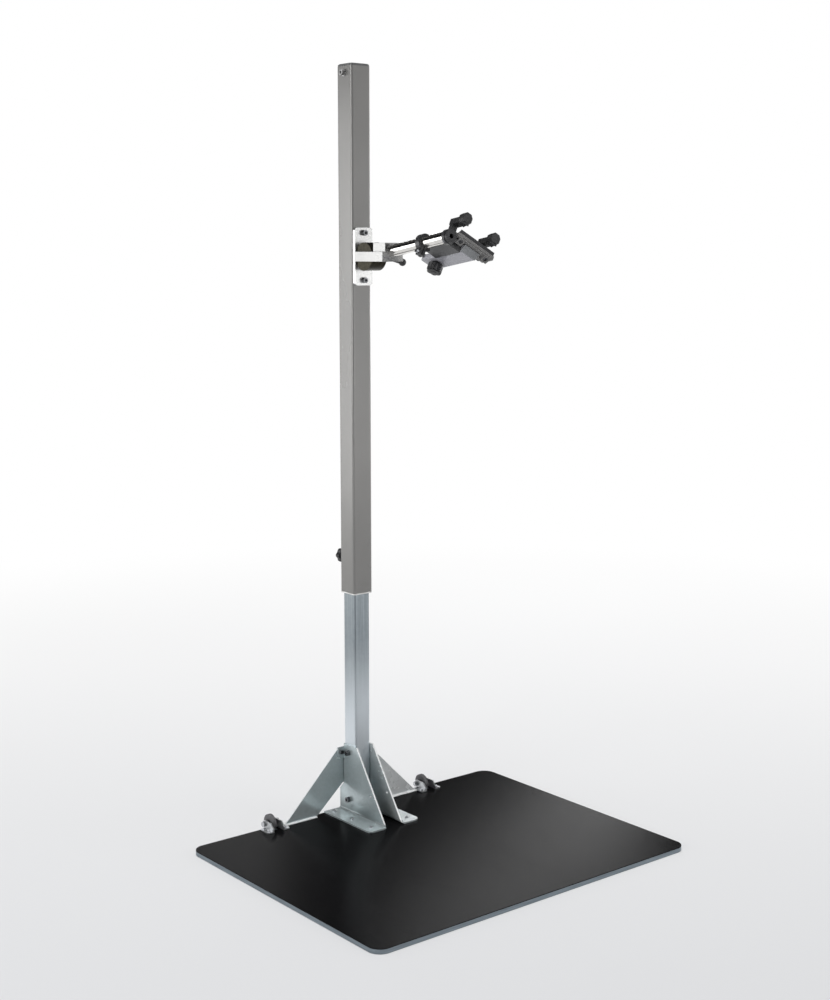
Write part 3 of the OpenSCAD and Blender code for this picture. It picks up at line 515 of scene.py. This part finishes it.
FINISHES = {
    "gusset_zinc": zinc("gusset_zinc", tone(200, 211, 213), rough=0.26, along=SOFT_CLOUDS, streak=0.06,
                        spangle=0.08, metal=0.6, fold=(FOOT_TOP, FOLD_TOP, 0.75), cut="X"),
    # Painted light: a paler copy of the gusset zinc, for the right gusset, without the painted fold shade
    "painted_light_gusset_zinc": zinc("painted_light_gusset_zinc", tone(222, 231, 233), rough=0.26, along=SOFT_CLOUDS,
                              streak=0.06, spangle=0.08, metal=0.6, cut="X"),
    "brace_zinc": zinc("brace_zinc", tone(206, 217, 219), rough=0.22, along=SOFT_CLOUDS, streak=0.06,
                       spangle=0.08, metal=0.6, cut="Y"),
    # Painted light: a paler, less metallic copy of the brace zinc, for the right brace
    "painted_light_brace_zinc": zinc("painted_light_brace_zinc", tone(228, 238, 240), rough=0.26, along=SOFT_CLOUDS, metal=0.28,
                            cut="Y"),
    "bright_zinc": zinc("bright_zinc", tone(214, 214, 213), rough=0.24, along=UPRIGHT),
    "fork_zinc": zinc("fork_zinc", tone(157, 157, 156), rough=0.28, along=LENGTHWISE),
    "cheek_zinc": zinc("cheek_zinc", tone(206, 208, 210), rough=0.30, streak=0.10, spangle=0.16),
    "tube_zinc": tube_zinc(),
    "column_paint": paint("column_paint", tone(122, 121, 119), rough=0.28, orange_peel=0.06, metal=0.30,
                          wear=0.35),
    "column_cap": paint("column_cap", tone(84, 85, 86), rough=0.40),
    "box_paint": paint("box_paint", tone(150, 150, 156), rough=0.36),
    "cap_paint": paint("cap_paint", tone(122, 124, 126), rough=0.40),
    "jaw_paint": paint("jaw_paint", tone(108, 107, 106), rough=0.42),
    "cast_paint": paint("cast_paint", tone(46, 46, 48), rough=0.42, orange_peel=0.3),
    "spring_paint": paint("spring_paint", tone(34, 34, 36), rough=0.28),
    "covering": covering(),
    "plate_steel": plate_steel(),
    "chrome": polished("chrome", tone(232, 230, 226), rough=0.09),
    "ground_steel": polished("ground_steel", tone(206, 208, 212), rough=0.22),
    "dark_steel": plain_steel("dark_steel", tone(138, 139, 142), rough=0.28),
    "barrel_steel": plain_steel("barrel_steel", tone(50, 48, 40), rough=0.28),
    "grey_bolt": plain_steel("grey_bolt", tone(182, 182, 182), rough=0.34),
    "screw_steel": plain_steel("screw_steel", tone(196, 198, 202), rough=0.30),
    "brass": polished("brass", tone(204, 166, 92), rough=0.24),
    "black_plastic": moulded("black_plastic", tone(30, 30, 32), rough=0.46),
    "finger_plastic": moulded("finger_plastic", tone(27, 27, 28), rough=0.54, grain_scale=1200.0),
    "light_plastic": moulded("light_plastic", tone(206, 206, 202), rough=0.42),
    "hub_plastic": moulded("hub_plastic", tone(38, 38, 40), rough=0.40),
    "rubber": soft_rubber("rubber", tone(34, 34, 36), rough=0.70, rib=180.0),
    "wheel_rubber": soft_rubber("wheel_rubber", tone(84, 84, 86), rough=0.62),
    "lining": lining(),
}

WEARS = {
    "plate_steel": ["base_plate"],
    "covering": ["plate_covering"],
    "tube_zinc": ["inner_column"],
    "gusset_zinc": ["left_gusset"],
    "painted_light_gusset_zinc": ["right_gusset"],
    "brace_zinc": ["left_brace"],
    "painted_light_brace_zinc": ["right_brace"],
    "cheek_zinc": ["left_outer_cheek", "left_inner_cheek", "right_inner_cheek", "right_outer_cheek"],
    "bright_zinc": ["arm_mount_plate"],
    "fork_zinc": ["arm_fork", "tilt_pin"],
    "column_paint": ["outer_column", "lock_boss"],
    "column_cap": ["top_cap"],
    "box_paint": ["clamp_body"],
    "jaw_paint": ["lower_jaw"],
    "cap_paint": ["body_caps"],
    "cast_paint": ["head_sleeve", "jaw_yoke"],
    "spring_paint": ["gas_spring_cylinder"],
    "chrome": ["arm_tube", "gas_spring_rod"],
    "ground_steel": ["left_axle", "right_axle", "spring_support_tube", "spring_gland", "spring_eye",
                     "lock_screw", "clamp_spindle"],
    "dark_steel": ["gusset_bolts", "lower_anchor_bolt", "brace_bolts", "mount_bolts", "lug_screws"],
    "grey_bolt": ["upper_anchor_bolt"],
    "barrel_steel": ["tilt_barrel"],
    "screw_steel": ["flange_screws", "brace_screws", "cheek_screws", "sleeve_screws"],
    "brass": ["jaw_nut"],
    "black_plastic": ["upper_guide", "lock_knob", "arm_end_ring", "tilt_lever", "clamp_knob"],
    "finger_plastic": ["left_finger", "right_finger"],
    "light_plastic": ["lower_guide"],
    "hub_plastic": ["left_hub", "right_hub"],
    "rubber": ["lower_pad", "finger_pads"],
    "wheel_rubber": ["left_tyre", "right_tyre"],
    "lining": ["lock_pad"],
}


def dress():
    """Gives every CAD node its finish."""
    for finish, names in WEARS.items():
        for name in names:
            slots = NODES[name].data.materials
            slots.clear()
            slots.append(FINISHES[finish])
    undressed = set(NODES) - {name for names in WEARS.values() for name in names}
    assert not undressed, undressed


def middle(node):
    """Middle of a CAD node's box."""
    low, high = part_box(node)
    return (low + high) / 2


def turned(node, centre, axis):
    """Heights along an axis and radii about it of a CAD node's points, to a hundredth of a millimetre."""
    mesh = NODES[node].data
    points = np.empty(len(mesh.vertices) * 3)
    mesh.vertices.foreach_get("co", points)
    points = points.reshape(-1, 3) - np.array(centre)
    w = np.array(axis)
    heights = points @ w
    radii = np.linalg.norm(points - heights[:, None] * w, axis=1)
    return np.round(heights, 5), np.round(radii, 5)


def height_lock_knob():
    """The knob of the height lock, at the column's rear."""
    rearward = (0, 1, 0)
    low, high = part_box("lock_knob")
    centre = middle("lock_knob")
    _, radii = turned("lock_knob", centre, rearward)
    star_knob("lock_knob_moulding", (centre.x, low.y, centre.z), rearward, radii.max(), high.y - low.y,
              "height_lock", "lock_knob")


def boss_weld():
    """The weld round the lock's boss, where it meets the column."""
    rearward = (0, 1, 0)
    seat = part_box("lock_boss")[0].y
    centre = middle("lock_boss")
    _, radii = turned("lock_boss", centre, rearward)
    weld_ring("lock_boss_weld", (centre.x, seat + 0.6 * MM, centre.z), rearward, radii.max() + 0.2 * MM,
              bead=1.8 * MM, ripples=26, body="carriage")


def clamp_screw():
    """The clamp's knob under its body, and the threaded spindle, which has a wider collar."""
    joint = JOINTS["clamp_screw_turn"]
    axis = np.array(joint["axis"])
    origin = np.array(joint["pos_m"])
    heights, radii = turned("clamp_knob", origin, axis)
    star_knob("clamp_knob_moulding", origin + axis * heights.max(), -axis, radii.max(),
              heights.max() - heights.min(), "clamp_screw", "clamp_knob")
    heights, radii = turned("clamp_spindle", origin, axis)
    low = heights.min()
    rod = radii.min()
    collar = heights[radii == radii.max()] - low
    threaded_spindle("clamp_spindle_thread", origin + axis * low, axis, heights.max() - low, rod,
                     (collar.min(), collar.max(), radii.max()), "clamp_screw", "clamp_spindle")


def tyres():
    """The two tyres, with their tread grooves."""
    axle = (1, 0, 0)
    for side in ("left", "right"):
        node = side + "_tyre"
        low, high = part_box(node)
        _, radii = turned(node, middle(node), axle)
        tyre(node + "_moulding", middle(node), (high.z - low.z) / 2, radii.min(), high.x - low.x,
             side + "_wheel", node)


# Stage

WHITE = tone(255, 255, 255)
# The backdrop as the pieces mirror it: white ahead of the photo camera, grey behind it, dark above.
# The camera itself sees it white from every side.
WALL_BEHIND = tone(150, 151, 153)
WALL_FADE = (-0.35, 0.30)
CEILING = tone(36, 36, 38)
CEILING_FADE = (0.05, 0.15)

# Name, place, target, size in metres, watts and roll in degrees of each soft box
LAMPS = [
    # Main light on the left faces, and the large pale field that they mirror
    ("key_box", (-3.6, -0.6, 1.5), (0.0, 0.2, 0.7), (1.8, 1.8), 64, 0),
    ("left_box", (-3.0, 2.8, 1.1), (0.0, 0.3, 0.7), (2.2, 2.0), 40, 0),
    # Light from above on the plate, the feet and the floor
    ("top_box", (0.0, -0.2, 5.2), (0.0, 0.0, 0.0), (3.4, 3.4), 190, 0),
    # Weaker light on the front faces: all of the column, the right side and the gussets
    ("right_box", (3.2, -3.9, 1.5), (0.0, 0.1, 0.9), (4.0, 3.6), 27, 0),
    ("side_box", (3.8, -1.9, 0.9), (0.0, 0.3, 0.3), (2.2, 2.2), 40, 0),
    ("front_box", (0.9, -3.4, 0.8), (0.1, 0.3, 0.1), (2.4, 1.2), 22, 0),
    # Mirrored in the plate's covering: the slanting pale band, and the paler left corner
    ("band_box", (2.31, 2.21, 1.41), (0.05, -0.15, 0.0), (1.5, 0.5), 13.5, 45),
    ("corner_box", (1.42, 3.17, 1.34), (-0.4, 0.2, 0.0), (0.5, 0.6), 2.5, 0),
]


def camera():
    """The photo camera, which is the scene's camera."""
    data = bpy.data.cameras.new("photo_camera")
    data.lens = CAMERA_LENS
    data.sensor_width = SENSOR_WIDTH
    data.clip_start = 0.05
    data.clip_end = 400.0
    level = math.cos(CAMERA_ELEVATION)
    gaze = Vector((AHEAD[0] * level, AHEAD[1] * level, -math.sin(CAMERA_ELEVATION)))
    rig = bpy.data.objects.new("photo_camera", data)
    rig.location = CAMERA_PLACE
    rig.rotation_mode = "QUATERNION"
    rig.rotation_quaternion = gaze.to_track_quat("-Z", "Y")
    bpy.context.scene.collection.objects.link(rig)
    bpy.context.scene.camera = rig


def lamp(name, place, target, size, watts, roll):
    """A soft box that faces the target, turned by roll degrees about its own axis and not seen itself."""
    data = bpy.data.lights.new(name, "AREA")
    data.shape = "RECTANGLE"
    data.size, data.size_y = size
    data.energy = watts
    rig = bpy.data.objects.new(name, data)
    rig.location = place
    rig.rotation_mode = "QUATERNION"
    aim = (Vector(target) - Vector(place)).to_track_quat("-Z", "Y")
    rig.rotation_quaternion = aim @ Quaternion((0, 0, 1), math.radians(roll))
    rig.visible_camera = False
    bpy.context.scene.collection.objects.link(rig)


def backdrop():
    """The world: a wall that is white ahead and grey behind, a dark ceiling, and all white to the camera."""
    world = bpy.data.worlds.new("studio")
    bpy.context.scene.world = world
    f = Finish("studio", world)
    way = f.node("TexCoord", out="Generated")
    rise = f.node("SeparateXYZ", out="Z", Vector=way)
    ahead = f.node("VectorMath", {"operation": "DOT_PRODUCT"}, out="Value", i0=way, i1=(*AHEAD, 0.0))
    wall = f.mix(ahead.ramp(*WALL_FADE), WALL_BEHIND, WHITE)
    mirrored = f.mix(rise.ramp(*CEILING_FADE), wall, CEILING)
    f.put(f.tree.nodes["Background"].inputs["Color"], f.mix(f.seen("Camera"), mirrored, WHITE))


def floor():
    """Pale floor that turns white in the distance. Far from the part it glows like the backdrop, so that no
    horizon shows. Near the part it is 0.6 glow and 0.4 lit surface, which keeps the part's shadow."""
    half = 120.0
    drop = 0.5 * MM
    near_tone, near_share = tone(214, 215, 217), 0.6
    mesh = bpy.data.meshes.new("floor")
    corners = [(-half, -half, 0), (half, -half, 0), (half, half, 0), (-half, half, 0)]
    mesh.from_pydata(corners, [], [(0, 1, 2, 3)])
    sheet = bpy.data.objects.new("floor", mesh)
    sheet.location.z = -drop
    bpy.context.scene.collection.objects.link(sheet)
    f = Finish("pale_floor")
    x = f.axis("X")
    y = f.axis("Y")
    ahead = x * AHEAD[0] + y * AHEAD[1]
    reach = (x * x + y * y) ** 0.5
    near = f.mix(ahead.ramp(-1.4, 1.8), near_tone, WHITE)
    wall = f.mix((ahead / reach).ramp(*WALL_FADE), WALL_BEHIND, WHITE)
    far = f.mix(f.seen("Camera"), wall, WHITE)
    glow = f.node("Emission", Color=f.mix(reach.ramp(3.0, 12.0), near, far), Strength=1.0)
    f.set(Base_Color=tone(228, 229, 231), Roughness=0.9, Specular_IOR_Level=0.1)
    looked_at = f.seen("Camera") + f.seen("Glossy") + f.seen("Transmission")
    share = looked_at * (reach.ramp(0.8, 4.0) * (1 - near_share) + near_share)
    surface = f.node("MixShader", i0=share, i1=Value(f, f.shader.outputs[0]), i2=glow)
    f.put(f.tree.nodes["Material Output"].inputs["Surface"], surface)
    mesh.materials.append(f.block)


camera()
for box in LAMPS:
    lamp(*box)
backdrop()
floor()
bpy.context.scene.view_settings.view_transform = "Standard"
dress()
height_lock_knob()
clamp_screw()
tyres()
boss_weld()
